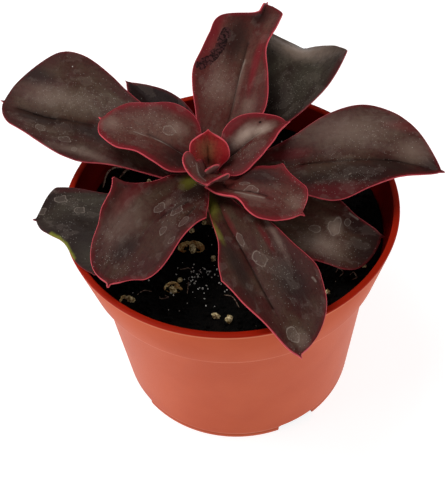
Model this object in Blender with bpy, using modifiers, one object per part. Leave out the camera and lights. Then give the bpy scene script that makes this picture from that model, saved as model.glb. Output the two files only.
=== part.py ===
"""An echeveria with dark red leaves in a round plastic nursery pot, in metres, +Z up.

The origin is on the surface the pot stands on, under the middle of its floor. The plant is a short
stem in the soil with fifteen leaves around it. Each leaf is a midrib, the way its upper face
looks, and half widths and lifts of its two margins, read at even steps from its base to its tip.
"""

import math
import random

import bmesh
import bpy
import numpy as np

MM = 0.001

# The pot, in mm
RIM_RADIUS = 57.0
RIM_HEIGHT = 83.0
LIP_WIDTH = 2.2
LIP_ROUND = 0.5
BAND_DEPTH = 20.9
BAND_FOOT_RADIUS = 52.4
BAND_ROUND = 0.6
BODY_TOP_RADIUS = 49.2
FOOT_RADIUS = 43.3
FOOT_ROUND = 0.8
WALL = 1.6
FLOOR = 1.8
POT_STEPS = 64
SLOTS = 4
FIRST_SLOT = 28
SLOT_WIDTH = 15.0
SLOT_HEIGHT = 3.6
SLOT_DEPTH = 8.0

# The soil, in mm: CHORD is what the flats of a turned wall take off its radius
CLEARANCE = 0.3
CHORD = 0.2
SOIL_BELOW_RIM = 12.0
SOIL_RINGS = 15
SOIL_SEGMENTS = 54
CRUMBS = 46
CRUMB_REACH = 48.0
CRUMB_SPREAD = (2.2, 4.5)
CRUMB_HEIGHT = (0.8, 2.2)
EDGE_FADE = 3.0
HOLE_DEPTH = 13.5
HOLE_SEGMENTS = 24

# The stem, in mm: points (x, y, height above the rim) and the radius at each
STEM = [(-5, 2, -23), (-5, 1.8, -16), (-5.2, 1.4, -8), (-5.6, 0.8, 0), (-6, 0.2, 8), (-6.3, -0.3, 13),
        (-6.5, -0.5, 17.5)]
STEM_RADII = [4.4, 4.6, 4.6, 4.4, 4.2, 3.8, 3.2]
SEAT_GAP = 0.7

# The leaves, in mm: quads along and across each, and its thickness at the margin and the middle
ALONG = 11
ACROSS = 8
MARGIN = 0.85
MIDDLE = 2.6
TIP_CROWDING = 1.4
TIP_THINNING = 0.75
POINT_WIDTH = 0.9
CUP_POWER = 1.6
ROUND_POWER = 0.55

COLOURS = {
    "pot plastic": ((0.53, 0.11, 0.06, 1), 0.35),
    "soil": ((0.012, 0.010, 0.008, 1), 0.95),
    "stem": ((0.12, 0.13, 0.03, 1), 0.6),
    "leaf": ((0.075, 0.030, 0.028, 1), 0.45),
    "young leaf": ((0.25, 0.035, 0.03, 1), 0.45),
    "old leaf": ((0.06, 0.05, 0.04, 1), 0.55),
}

LEAVES = {
    "leaf_left_long": dict(
        grows=(158, 9.5), route=[(-29, 15, 13), (-45, 25, 15), (-63, 29, 18), (-78.5, 36, 19)],
        faces=[(0, -0.2, 1), (0, -0.4, 1), (0, -0.5, 1)],
        left=[4, 9, 13, 15.5, 13.5, 8.5, 6.5], right=[4, 9, 12, 15.5, 22, 23.5, 20],
        lift_left=[1, 2, 2, 2, 2], lift_right=[1, 2, 2, 2, 1], rounding=(0.94, 0.82)),
    "leaf_right_long": dict(
        grows=(3, 9.5), route=[(17, 1, 13), (33, 1, 15), (53, 0, 15), (70.5, -4, 12)],
        faces=[(0, -0.2, 1), (0, -0.4, 1)],
        left=[4, 6.5, 11.5, 17.5, 19.5, 14.5, 7.5], right=[3, 5.5, 11.5, 16, 11, 4, 3],
        lift_left=[1, 2, 2, 2, 2], lift_right=[1, 2, 2, 2, 1]),
    "leaf_left_upper": dict(
        grows=(150, 16.5), route=[(-21, 7, 20.5), (-31, 13, 22), (-43, 21, 22)],
        faces=[(0.2, -0.2, 1), (0.2, -0.3, 1)],
        left=[4, 8.5, 8.5, 7.5, 7.5, 5.5, 3.5], right=[4, 12.5, 15, 14.5, 10.5, 7.5, 5],
        lift_left=[1, 2, 2, 2], lift_right=[1, 3, 3, 1], rounding=(0.92, 0.8)),
    "leaf_back_tall": dict(
        grows=(78, 13), route=[(1.5, 24, 17), (6, 42, 21), (11, 59, 24.5), (17.5, 75, 26)],
        faces=[(0, -0.3, 1), (0, -0.5, 1), (0.2, -0.5, 1)],
        left=[4, 8.5, 12, 15, 16.5, 15.5, 14.5, 4, 0.5], right=[4, 8, 11.5, 10.5, 7.5, 7, 6],
        lift_left=[1, 2, 2, 2, 2], lift_right=[1, 2, 4, 5, 5, 4, 2], rounding=(0.96, 0.95)),
    "leaf_back_right": dict(
        grows=(58, 5.5), route=[(9, 24, 10), (20, 40, 14), (28, 55, 16), (31, 66, 11)],
        faces=[(0, -0.2, 1), (0, -0.2, 1), (0.2, 0.3, 1)],
        left=[4, 6, 9, 12, 14, 15.5, 10], right=[4, 6, 8.5, 12, 14.5, 16, 12],
        lift_left=[1, 2, 3, 5, 6], lift_right=[1, 3, 4, 6, 7]),
    "leaf_front_long": dict(
        grows=(282, 9), route=[(-2, -20, 11.5), (3.5, -35, 12), (10, -52, 9), (18.5, -68.5, 3)],
        faces=[(0, -0.2, 1), (0, -0.3, 1)],
        left=[3, 6.5, 11.5, 14.5, 18, 16, 14], right=[4, 4, 5.5, 9.5, 6.5, 3.5, 3],
        lift_left=[0.5, 1, 2, 2, 2], lift_right=[0.5, 0.5, 1.5, 2, 1], rounding=(0.8, 0.8)),
    "leaf_front_left": dict(
        grows=(222, 13), route=[(-21, -16, 14), (-30, -27, 12), (-37, -34.5, 9), (-39.5, -40, 6)],
        faces=[(0, -0.2, 1), (0, -0.3, 1)],
        left=[4, 9.5, 11, 11.5, 12, 12, 11], right=[4, 8, 10.5, 14, 18.5, 16.5, 13, 10.5, 8],
        lift_left=[1, 2, 2, 2], lift_right=[1, 2, 2, 5, 8, 4, 2, 1, 1], rounding=(0.8, 0.8)),
    "leaf_left_old": dict(
        grows=(196, 1.5), route=[(-30, -11.5, 5), (-44, -12, 4.5), (-56.5, -9.5, 3.5), (-66.5, -6, 2)],
        faces=[(0, -0.1, 1), (0, -0.1, 1)],
        left=[4, 8, 13, 17.5, 12.5, 5.5, 1.5], right=[4, 6, 8, 11, 14, 16, 14.5],
        lift_left=[1, 1, 0, -1], lift_right=[1, 1, 1, 0], rounding=(0.95, 0.93)),
    "leaf_right_low": dict(
        grows=(335, 1.5), route=[(16, -12, 2.5), (32, -15.5, 1), (42, -17, -1.5), (49.5, -17, -3)],
        faces=[(0, -0.2, 1), (0, -0.3, 1)],
        left=[4, 7, 9.5, 11, 10, 4.5, 2], right=[4, 8, 11, 13, 14, 14.5, 9],
        lift_left=[1, 2, 2, 2], lift_right=[1, 2, 2, 1], rounding=(0.85, 0.85)),
    "leaf_back_left_low": dict(
        grows=(108, 1.5), route=[(-17.5, 28, 3), (-24, 41, 4), (-30.5, 50.5, 5.5), (-37, 59, 6)],
        faces=[(0, -0.2, 1), (0, -0.3, 1)],
        left=[4, 7, 8, 9, 8, 6, 3], right=[4, 7, 9, 10.5, 10, 6.5, 2],
        lift_left=[1, 2, 2, 2], lift_right=[1, 2, 2, 1]),
    "leaf_right_upper": dict(
        grows=(25, 16.5), route=[(2.5, 2.5, 19.5), (9, 6, 23), (15, 9, 24), (21, 12, 23.5)],
        faces=[(0, -0.2, 1), (0, -0.3, 1)],
        left=[4, 7, 9, 10, 8, 5, 4], right=[4, 8, 8.5, 8.5, 7.5, 4.5, 3],
        lift_left=[1, 2, 2, 2], lift_right=[1, 2, 2, 1]),
    "leaf_right_front": dict(
        grows=(308, 13), route=[(0.5, -10.5, 15.5), (8, -14, 17.5), (15.5, -18.5, 17.5), (23, -23.5, 16)],
        faces=[(0, -0.1, 1), (0, -0.2, 1)],
        left=[4, 6, 8, 10, 12, 13, 11.5, 9, 6], right=[3, 2.5, 3, 7.5, 9.5, 8, 5],
        lift_left=[0.5, 0.5, 1, 1], lift_right=[1, 2, 2, 1], rounding=(0.85, 0.8)),
    "leaf_heart_front": dict(
        grows=(258, 16.8), route=[(-8, -8, 18.5), (-7, -12.5, 20.5)],
        faces=[(0, 0, 1), (0, 0.3, 1)],
        left=[3.5, 6, 5.5, 4], right=[3.5, 6, 5.5, 4],
        lift_left=[1, 2, 1], lift_right=[1, 2, 1], point=0.8),
    "leaf_heart_folded": dict(
        grows=(300, 18.9), seat=-1.6, route=[(-5.4, -3.4, 21), (-5, -4.6, 23)],
        faces=[(-0.2, 0.8, 0.5), (-0.2, 1, 0.2)],
        left=[2, 3, 2.5], right=[2, 3, 2.5],
        lift_left=[1, 1.5, 1.5], lift_right=[1, 1.5, 1.5], point=0.6),
    "leaf_heart_cup": dict(
        grows=(90, 18.9), seat=-1, route=[(-6.5, 2, 22), (-6.3, 3.5, 25), (-6, 5, 28.5)],
        faces=[(0, -0.8, 0.6), (0, -1, 0.4)],
        left=[3, 5.5, 6, 5.5, 3], right=[3, 5.5, 6, 5.5, 3],
        lift_left=[2, 3.5, 3.5, 2], lift_right=[2, 3.5, 3.5, 2], point=0.8),
}
YOUNG = ("leaf_heart_front", "leaf_heart_cup", "leaf_heart_folded")
OLD = ("leaf_left_old",)


def smooth(values, t):
    """A Catmull-Rom curve through evenly spaced numbers or points, t from 0 to 1."""
    values = np.asarray(values, float)
    last = len(values) - 1
    place = min(max(t, 0.0), 1.0) * last
    i = min(int(place), last - 1)
    f = place - i
    b, c = values[i], values[i + 1]
    a = values[i - 1] if i > 0 else 2 * b - c
    d = values[i + 2] if i + 2 <= last else 2 * c - b
    return 0.5 * (2 * b + (c - a) * f + (2 * a - 5 * b + 4 * c - d) * f**2 + (3 * b - a - 3 * c + d) * f**3)


def unit(vector):
    return vector / np.linalg.norm(vector)


def stem_at(height):
    """The stem's middle and radius at a height above the rim."""
    heights = [z for _, _, z in STEM]
    middle = [np.interp(height, heights, [p[axis] for p in STEM]) for axis in (0, 1)]
    return np.array([*middle, height]), float(np.interp(height, heights, STEM_RADII))


class Blade:
    """A leaf's middle surface. Inside, lengths are mm and heights are above the rim."""

    SAMPLES = 60

    def __init__(self, grows, route, faces, left, right, lift_left, lift_right,
                 seat=SEAT_GAP, rounding=(0.75, 0.75), point=1.5):
        side, height = math.radians(grows[0]), grows[1]
        middle, radius = stem_at(height)
        base = middle + (radius + seat) * np.array([math.cos(side), math.sin(side), 0])
        self.route = np.array([base, *route], float)
        self.faces, self.widths, self.lifts = faces, (right, left), (lift_right, lift_left)
        self.rounding = rounding[::-1]
        steps = np.linspace(0, 1, self.SAMPLES)
        runs = np.linalg.norm(np.diff([smooth(self.route, t) for t in steps], axis=0), axis=1)
        self.steps, self.runs = steps, np.concatenate([[0], np.cumsum(runs)])
        self.length = self.runs[-1]
        self.body = 1 - point / self.length

    def frame(self, u):
        """The midrib's point, the direction to the left and the way the upper face looks."""
        t = np.interp(u * self.length, self.runs, self.steps)
        ahead, behind = smooth(self.route, min(t + 0.001, 1)), smooth(self.route, max(t - 0.001, 0))
        forward = unit(ahead - behind)
        face = smooth(self.faces, u)
        face = unit(face - forward * face.dot(forward))
        return smooth(self.route, t), np.cross(face, forward), face

    def at(self, u, v):
        """The point at u from base to tip and v from -1, the right margin, to 1, the left one."""
        side = int(v > 0)
        middle, left, face = self.frame(u)
        within = min(u / self.body, 1.0)
        start = self.rounding[side]
        past = max(0.0, (within - start) / (1 - start))
        closing = max(1 - past**2, 0.0) ** ROUND_POWER
        nib = POINT_WIDTH * min(1.0, (1 - u) / (1 - self.body * 0.985)) if u > self.body * 0.9 else 0.0
        width = max(smooth(self.widths[side], within) * closing, nib)
        lift = smooth(self.lifts[side], within) * closing
        return middle + left * width * v + face * lift * abs(v) ** CUP_POWER


def material(name):
    colour, roughness = COLOURS[name]
    made = bpy.data.materials.new(name)
    made.use_nodes = True
    shader = made.node_tree.nodes["Principled BSDF"]
    shader.inputs["Base Color"].default_value = colour
    shader.inputs["Roughness"].default_value = roughness
    return made


def add_object(name, mesh, collection, finish=None):
    made = bpy.data.objects.new(name, mesh)
    collection.objects.link(made)
    if finish:
        mesh.materials.append(finish)
    return made


def mesh_of(name, work):
    mesh = bpy.data.meshes.new(name)
    work.to_mesh(mesh)
    work.free()
    return mesh


def arc(centre, radius, start, end, count=3):
    """Points of a rounded corner in the turned profile, angles in degrees."""
    angles = [math.radians(start + (end - start) * i / (count - 1)) for i in range(count)]
    return [(centre[0] + radius * math.cos(a), centre[1] + radius * math.sin(a)) for a in angles]


def wall_radius(height):
    """The pot's inner radius at a height over the surface it stands on."""
    band_foot = RIM_HEIGHT - BAND_DEPTH
    ends = (BAND_FOOT_RADIUS - WALL, RIM_RADIUS - LIP_WIDTH)
    if height > band_foot + WALL:
        return float(np.interp(height, [band_foot, RIM_HEIGHT], ends))
    return float(np.interp(height, [0, band_foot], [FOOT_RADIUS - WALL, BODY_TOP_RADIUS - WALL]))


def pot(collection, cutters):
    """A turned wall with a wide band at the top, and slots for water where the wall meets the floor."""
    band_foot = RIM_HEIGHT - BAND_DEPTH
    inner_step = band_foot + WALL
    profile = [
        (0, FLOOR),
        (wall_radius(FLOOR), FLOOR),
        (wall_radius(inner_step), inner_step),
        (wall_radius(inner_step + 0.01), inner_step + 0.01),
        *arc((RIM_RADIUS - LIP_WIDTH + LIP_ROUND, RIM_HEIGHT - LIP_ROUND), LIP_ROUND, 180, 90),
        *arc((RIM_RADIUS - LIP_ROUND, RIM_HEIGHT - LIP_ROUND), LIP_ROUND, 90, 0),
        *arc((BAND_FOOT_RADIUS - BAND_ROUND, band_foot + BAND_ROUND), BAND_ROUND, 0, -90),
        (BODY_TOP_RADIUS, band_foot),
        *arc((FOOT_RADIUS - FOOT_ROUND, FOOT_ROUND), FOOT_ROUND, 0, -90),
        (0, 0),
    ]
    work = bmesh.new()
    points = [work.verts.new((x * MM, 0, z * MM)) for x, z in profile]
    for first, second in zip(points, points[1:]):
        work.edges.new((first, second))
    made = add_object("pot", mesh_of("pot", work), collection, material("pot plastic"))
    turn = made.modifiers.new("turn", "SCREW")
    turn.steps = turn.render_steps = POT_STEPS
    turn.use_merge_vertices = True
    turn.merge_threshold = 0.00001
    turn.use_normal_calculate = True
    for number in range(SLOTS):
        angle = math.radians(FIRST_SLOT + number * 360 / SLOTS)
        work = bmesh.new()
        bmesh.ops.create_cube(work, size=1)
        size = (2 * SLOT_DEPTH * MM, SLOT_WIDTH * MM, 2 * SLOT_HEIGHT * MM)
        bmesh.ops.scale(work, vec=size, verts=work.verts)
        cutter = add_object(f"slot_{number + 1}", mesh_of("slot", work), cutters)
        cutter.location = (FOOT_RADIUS * MM * math.cos(angle), FOOT_RADIUS * MM * math.sin(angle), 0)
        cutter.rotation_euler.z = angle
        cut = made.modifiers.new(cutter.name, "BOOLEAN")
        cut.operation = "DIFFERENCE"
        cut.object = cutter
        cutter.hide_render = True
        cutter.display_type = "WIRE"
    made.data.shade_smooth()
    return made


def crumbs_of(draw):
    """Where the soil's crumbs are (x, y), how far each spreads and how high it stands, in mm."""
    crumbs = []
    for _ in range(CRUMBS):
        angle, reach = draw.uniform(0, 2 * math.pi), CRUMB_REACH * math.sqrt(draw.random())
        spread, height = draw.uniform(*CRUMB_SPREAD), draw.uniform(*CRUMB_HEIGHT)
        crumbs.append((reach * math.cos(angle), reach * math.sin(angle), spread, height))
    return crumbs


def soil_height(x, y, crumbs):
    """How high the soil stands over its level at a place, in mm."""
    slope = 0.8 * math.sin(0.07 * x + 1.2) * math.cos(0.06 * y)
    return slope + sum(h * math.exp(-((x - a) ** 2 + (y - b) ** 2) / (r * r)) for a, b, r, h in crumbs)


def soil_body():
    """Peat to the shape of the pot's inside, with crumbs raised over its top."""
    crumbs = crumbs_of(random.Random(7))
    top = RIM_HEIGHT - SOIL_BELOW_RIM
    low = FLOOR + CLEARANCE
    ledge = RIM_HEIGHT - BAND_DEPTH + WALL + CLEARANCE
    gap = CLEARANCE + CHORD
    edge = wall_radius(top) - gap
    work = bmesh.new()
    bmesh.ops.create_cone(work, cap_ends=True, cap_tris=True, segments=SOIL_SEGMENTS,
                          radius1=edge * MM, radius2=edge * MM, depth=MM)
    bmesh.ops.delete(work, geom=[v for v in work.verts if v.co.z < 0], context="VERTS")
    spokes = [e for e in work.edges if any(v.co.length < edge * MM / 2 for v in e.verts)]
    bmesh.ops.subdivide_edges(work, edges=spokes, cuts=SOIL_RINGS - 1)
    for vert in work.verts:
        x, y = vert.co.x / MM, vert.co.y / MM
        fade = min(1.0, (edge - math.hypot(x, y)) / EDGE_FADE + 0.25)
        vert.co.z = (top + fade * soil_height(x, y, crumbs)) * MM
    rim = [e for e in work.edges if e.is_boundary]
    sides = ((wall_radius(ledge), ledge), (BODY_TOP_RADIUS - WALL, ledge), (wall_radius(low), low))
    for radius, height in sides:
        out = bmesh.ops.extrude_edge_only(work, edges=rim)["geom"]
        rim = [e for e in out if isinstance(e, bmesh.types.BMEdge)]
        for vert in (v for v in out if isinstance(v, bmesh.types.BMVert)):
            shrink = (radius - gap) * MM / math.hypot(vert.co.x, vert.co.y)
            vert.co = (vert.co.x * shrink, vert.co.y * shrink, height * MM)
    bmesh.ops.contextual_create(work, geom=rim)
    bmesh.ops.triangulate(work, faces=work.faces)
    bmesh.ops.recalc_face_normals(work, faces=work.faces)
    return work


def soil(collection, cutters):
    """The peat, with a plain hole for the stem."""
    made = add_object("soil", mesh_of("soil", soil_body()), collection, material("soil"))
    middle, _ = stem_at(-SOIL_BELOW_RIM)
    hole = (max(STEM_RADII) + CLEARANCE + CHORD) * MM
    work = bmesh.new()
    bmesh.ops.create_cone(work, cap_ends=True, segments=HOLE_SEGMENTS, radius1=hole, radius2=hole,
                          depth=2 * HOLE_DEPTH * MM)
    bmesh.ops.translate(work, verts=work.verts,
                        vec=(middle[0] * MM, middle[1] * MM, (RIM_HEIGHT - SOIL_BELOW_RIM) * MM))
    cutter = add_object("stem_hole", mesh_of("stem_hole", work), cutters)
    cutter.hide_render = True
    cutter.display_type = "WIRE"
    cut = made.modifiers.new("stem hole", "BOOLEAN")
    cut.operation = "DIFFERENCE"
    cut.object = cutter
    return made


def stem(collection):
    """The short woody stem that the leaves sit round."""
    curve = bpy.data.curves.new("stem", "CURVE")
    curve.dimensions = "3D"
    curve.bevel_depth = MM
    curve.bevel_resolution = 2
    curve.use_fill_caps = True
    line = curve.splines.new("POLY")
    line.points.add(len(STEM) - 1)
    for point, (x, y, z), radius in zip(line.points, STEM, STEM_RADII):
        point.co = (x * MM, y * MM, (z + RIM_HEIGHT) * MM, 1)
        point.radius = radius
    made = bpy.data.objects.new("stem", curve)
    curve.materials.append(material("stem"))
    collection.objects.link(made)
    return made


def leaf(name, spec, collection, finish):
    """A thick blade: a grid laid on the middle surface, given its body by Solidify, thickest along the midrib."""
    blade = Blade(**spec)
    work = bmesh.new()
    bmesh.ops.create_grid(work, x_segments=ALONG, y_segments=ACROSS, size=1)
    weights = work.verts.layers.deform.new()
    tip = [vert for vert in work.verts if vert.co.x > 0.9999]
    for vert in work.verts:
        u, v = 1 - ((1 - vert.co.x) / 2) ** TIP_CROWDING, vert.co.y
        x, y, z = blade.at(u, v)
        vert.co = (x * MM, y * MM, (z + RIM_HEIGHT) * MM)
        vert[weights][0] = (1 - v**2) * (1 - TIP_THINNING * u**2)
    bmesh.ops.triangulate(work, faces=work.faces)
    bmesh.ops.pointmerge(work, verts=tip, merge_co=tip[0].co)
    mesh = mesh_of(name, work)
    made = add_object(name, mesh, collection, finish)
    made.vertex_groups.new(name="body")
    body = made.modifiers.new("body", "SOLIDIFY")
    body.thickness = MIDDLE * MM
    body.offset = -0.2
    body.vertex_group = "body"
    body.thickness_vertex_group = MARGIN / MIDDLE
    mesh.shade_smooth()
    return made


def main():
    for old in list(bpy.data.objects):
        bpy.data.objects.remove(old, do_unlink=True)
    plant = bpy.data.collections.new("potted echeveria")
    cutters = bpy.data.collections.new("cutters")
    for group in (plant, cutters):
        bpy.context.scene.collection.children.link(group)
    pot(plant, cutters)
    soil(plant, cutters)
    stem(plant)
    finishes = {name: material(name) for name in ("leaf", "young leaf", "old leaf")}
    for name, spec in LEAVES.items():
        kind = "young leaf" if name in YOUNG else "old leaf" if name in OLD else "leaf"
        leaf(name, spec, plant, finishes[kind])


main()
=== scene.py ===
# %% [markdown]
# # A potted echeveria
#
# This lesson dresses a young echeveria with dark red leaves, in the plastic pot it was sold in. A
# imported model, the frame, gives sizes and places, and each of its plain pieces is replaced here by a
# finer one that keeps its form. Lengths are in millimetres, and MM turns them into Blender's metres.

# %% Load the frame
import random
from collections import namedtuple
from math import copysign, cos, exp, hypot, pi, radians, sin, sqrt

import bmesh
import bpy
import numpy as np
from mathutils import Euler, Matrix, Vector, kdtree, noise


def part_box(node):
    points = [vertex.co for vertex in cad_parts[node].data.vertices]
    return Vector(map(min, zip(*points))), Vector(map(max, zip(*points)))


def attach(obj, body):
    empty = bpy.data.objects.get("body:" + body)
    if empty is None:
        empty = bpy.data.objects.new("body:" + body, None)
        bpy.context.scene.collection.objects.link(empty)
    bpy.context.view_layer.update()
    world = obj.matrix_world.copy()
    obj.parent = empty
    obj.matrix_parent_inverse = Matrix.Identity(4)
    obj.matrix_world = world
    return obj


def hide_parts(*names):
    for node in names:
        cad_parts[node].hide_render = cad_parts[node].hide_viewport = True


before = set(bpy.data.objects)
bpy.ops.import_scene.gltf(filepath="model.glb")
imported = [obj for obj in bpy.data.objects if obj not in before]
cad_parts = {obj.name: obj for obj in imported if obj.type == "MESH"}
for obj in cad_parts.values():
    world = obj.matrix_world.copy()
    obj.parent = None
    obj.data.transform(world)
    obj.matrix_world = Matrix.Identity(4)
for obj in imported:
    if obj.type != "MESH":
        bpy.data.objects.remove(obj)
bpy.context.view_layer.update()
MM = 0.001
pot_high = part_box("pot")[1]
RIM_HEIGHT = round(pot_high.z / MM, 2)
RIM_RADIUS = round(pot_high.x / MM, 2)
print(f"the frame has {len(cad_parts)} pieces, and the pot is {2 * RIM_RADIUS} x {RIM_HEIGHT} mm")

# %% [markdown]
# ## The camera
#
# The plant is seen from in front and above, about half way between level and straight down. The
# camera is near, so the pot narrows strongly towards its foot.

# %% Camera
CAMERA_PLACE = (0, -0.2359, 0.3306)
CAMERA_DOWN = 49.17
CAMERA_TURNS = (("Z", 0.93), ("X", 90 - CAMERA_DOWN), ("Z", -3.73))
CAMERA_LENS = 72.4
SENSOR_WIDTH = 36


def put(name, data):
    """A new object in the scene."""
    made = bpy.data.objects.new(name, data)
    bpy.context.scene.collection.objects.link(made)
    return made


def add_camera():
    data = bpy.data.cameras.new("camera")
    data.lens = CAMERA_LENS
    data.sensor_width = SENSOR_WIDTH
    data.clip_start = 0.01
    pose = Matrix.Translation(CAMERA_PLACE)
    for axis, angle in CAMERA_TURNS:
        pose = pose @ Matrix.Rotation(radians(angle), 4, axis)
    made = put("camera", data)
    made.matrix_world = pose
    bpy.context.scene.camera = made


add_camera()
print(f"the camera looks {CAMERA_DOWN} degrees down through a {CAMERA_LENS} mm lens")

# %% [markdown]
# ## Nodes as sums
#
# Every finish is a small network of shader nodes. A Value wraps the output of a node, and the usual
# operators on it add Math nodes, so a mask reads like the sum it is. A Finish holds one network, with
# a method that adds any node from its type, settings and sockets.

# %% Values that change over a surface
def operator(operation, turned=False):
    """A method that adds a Math node. Turned, it takes the other number first."""
    def run(self, other=0.0):
        pair = (other, self) if turned else (self, other)
        return self.finish.math(operation, *pair)
    return run


class Value:
    """The output of a node. Arithmetic on it adds Math nodes to its finish."""

    def __init__(self, finish, socket):
        self.finish = finish
        self.socket = socket

    __add__ = operator("ADD")
    __radd__ = operator("ADD", turned=True)
    __sub__ = operator("SUBTRACT")
    __rsub__ = operator("SUBTRACT", turned=True)
    __mul__ = operator("MULTIPLY")
    __abs__ = operator("ABSOLUTE")
    at_most = operator("MINIMUM")
    at_least = operator("MAXIMUM")

    def rise(self, low, high):
        """0 below low, 1 above high, and a soft step between."""
        sockets = {"Value": self, "From Min": low, "From Max": high}
        return self.finish.node("ShaderNodeMapRange", {"interpolation_type": "SMOOTHSTEP"}, sockets)


# %% A network of nodes
class Finish:
    """The nodes of one material, or of the world."""

    def __init__(self, name, home="materials", shader="Principled BSDF", **sockets):
        self.owner = getattr(bpy.data, home).new(name)
        self.owner.use_nodes = True
        self.tree = self.owner.node_tree
        self.shader = self.tree.nodes[shader]
        self.set(**sockets)

    def plug(self, socket, value):
        if isinstance(value, Value):
            self.tree.links.new(value.socket, socket)
        else:
            socket.default_value = value

    def set(self, **sockets):
        """Fills the shader's sockets: base_color is Base Color."""
        for name, value in sockets.items():
            title = name.replace("_", " ").title().replace("Ior", "IOR")
            self.plug(self.shader.inputs[title], value)

    def node(self, kind, settings, sockets, output=0):
        made = self.tree.nodes.new(kind)
        for name, value in settings.items():
            setattr(made, name, value)
        for place, value in sockets.items():
            self.plug(made.inputs[place], value)
        return Value(self, made.outputs[output])

    def math(self, operation, first, second):
        return self.node("ShaderNodeMath", {"operation": operation}, {0: first, 1: second})

    def mix(self, tone, *coats):
        """A colour with others laid over it in turn, each with the share that it covers."""
        for share, over in coats:
            sockets = {0: share, 6: tone, 7: over}
            tone = self.node("ShaderNodeMix", {"data_type": "RGBA"}, sockets, output=2)
        return tone

    def scaled(self, place, factors):
        return self.node("ShaderNodeVectorMath", {"operation": "MULTIPLY"}, {0: place, 1: factors})

    def place(self):
        """Where the point is on the piece, in mm."""
        return self.scaled(self.node("ShaderNodeTexCoord", {}, {}, "Object"), (1 / MM,) * 3)

    def attribute(self, name):
        return self.node("ShaderNodeAttribute", {"attribute_name": name}, {}, "Vector")

    def parts(self, vector):
        made = self.node("ShaderNodeSeparateXYZ", {}, {0: vector})
        return [Value(self, socket) for socket in made.socket.node.outputs]

    def noise(self, place, size, detail=2.0, rough=0.5, twist=0.0):
        """Clouds about as wide as size, from 0 to 1."""
        sockets = {"Vector": place, "Scale": 1 / size, "Detail": detail, "Roughness": rough,
                   "Distortion": twist}
        return self.node("ShaderNodeTexNoise", {}, sockets)

    def specks(self, place, spacing, share, radius):
        """Small dots: a cell of each spacing has one if its own random number is under the share."""
        near = self.node("ShaderNodeTexVoronoi", {}, {"Vector": place, "Scale": 1 / spacing})
        pick = self.parts(Value(self, near.socket.node.outputs["Color"]))[0]
        dot = 1 - near.rise(radius * 0.6 / spacing, radius / spacing)
        return dot * (1 - pick.rise(share, share + 0.01))

    def relief(self, height, depth):
        """Bumps of up to depth mm where height goes from 0 to 1."""
        sockets = {"Strength": 1.0, "Distance": depth * MM, "Height": height}
        self.set(normal=self.node("ShaderNodeBump", {}, sockets))


def colour(red, green, blue):
    """A colour as a screen shows it, 0 to 255, in the linear numbers that a shader reads."""
    return tuple((c / 255) ** 2.2 for c in (red, green, blue)) + (1.0,)


print("the helpers for finishes are ready")

# %% [markdown]
# ## Floor, sky and light
#
# The plant stands in a light tent. The floor glows white, and the sky straight above is dim, which
# keeps the colours of upward faces deep. A large soft light overhead models the leaves gently, and one
# on each side turns the flanks of the pot pale.

# %% Making an object from a bmesh
def add_piece(name, work, *finishes):
    """An object at the origin with its shape in its mesh, shaded smooth."""
    mesh = bpy.data.meshes.new(name)
    work.to_mesh(mesh)
    work.free()
    for finish in finishes:
        mesh.materials.append(finish.owner)
    mesh.shade_smooth()
    return put(name, mesh)


def settle(made):
    """Applies an object's modifiers, so that the shape they make is the piece's own mesh."""
    seen = made.evaluated_get(bpy.context.evaluated_depsgraph_get())
    mesh = bpy.data.meshes.new_from_object(seen)
    made.modifiers.clear()
    old, made.data = made.data, mesh
    bpy.data.meshes.remove(old)
    return made


print("pieces can be made and settled")

# %% Stage
WHITE = (1, 1, 1, 1)
FLOOR_SIZE = 6.0
FLOOR_WHITE = 0.38
FLOOR_GLOW = 0.83
SKY_LOW, SKY_HIGH = 0.02, 0.55
GLOW_LOW, GLOW_HIGH = 0.95, 0.18
SOFTBOXES = {
    "overhead": (Vector((-0.35, 0.1, 1.0)), 0.5, 5.5),
    "left side": (Vector((-0.95, -0.2, 0.30)), 0.6, 4.0),
    "right side": (Vector((0.95, -0.05, 0.30)), 0.6, 3.5),
}


def add_sky():
    """A sky that dims from a little over the horizon upwards."""
    sky = Finish("light tent", "worlds", "Background", color=WHITE)
    height = sky.parts(sky.node("ShaderNodeTexCoord", {}, {}, "Generated"))[2]
    sockets = {"Value": height, "From Min": SKY_LOW, "From Max": SKY_HIGH,
               "To Min": GLOW_LOW, "To Max": GLOW_HIGH}
    sky.set(strength=sky.node("ShaderNodeMapRange", {}, sockets))
    bpy.context.scene.world = sky.owner


def add_softbox(name, place, size, power):
    data = bpy.data.lights.new(name, "AREA")
    data.size = size
    data.energy = power
    made = put(name, data)
    made.location = place
    made.rotation_euler = place.to_track_quat("Z", "Y").to_euler()


def add_floor():
    work = bmesh.new()
    bmesh.ops.create_grid(work, x_segments=1, y_segments=1, size=FLOOR_SIZE / 2)
    finish = Finish("floor", base_color=(FLOOR_WHITE,) * 3 + (1,), roughness=0.9,
                    emission_color=WHITE, emission_strength=FLOOR_GLOW)
    add_piece("floor", work, finish)


add_sky()
for name, softbox in SOFTBOXES.items():
    add_softbox(name, *softbox)
add_floor()
bpy.context.scene.view_settings.view_transform = "Standard"
print(f"the floor, the sky and {len(SOFTBOXES)} soft lights are in place")

# %% [markdown]
# ## The pot
#
# A nursery pot is moulded in one shot: a wide band that stiffens the top, a small step under it, a
# tapering body, a faint crease just above the foot, and slots where the wall meets the floor. Its
# section is drawn once and spun, and boxes cut the slots afterwards.

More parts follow.
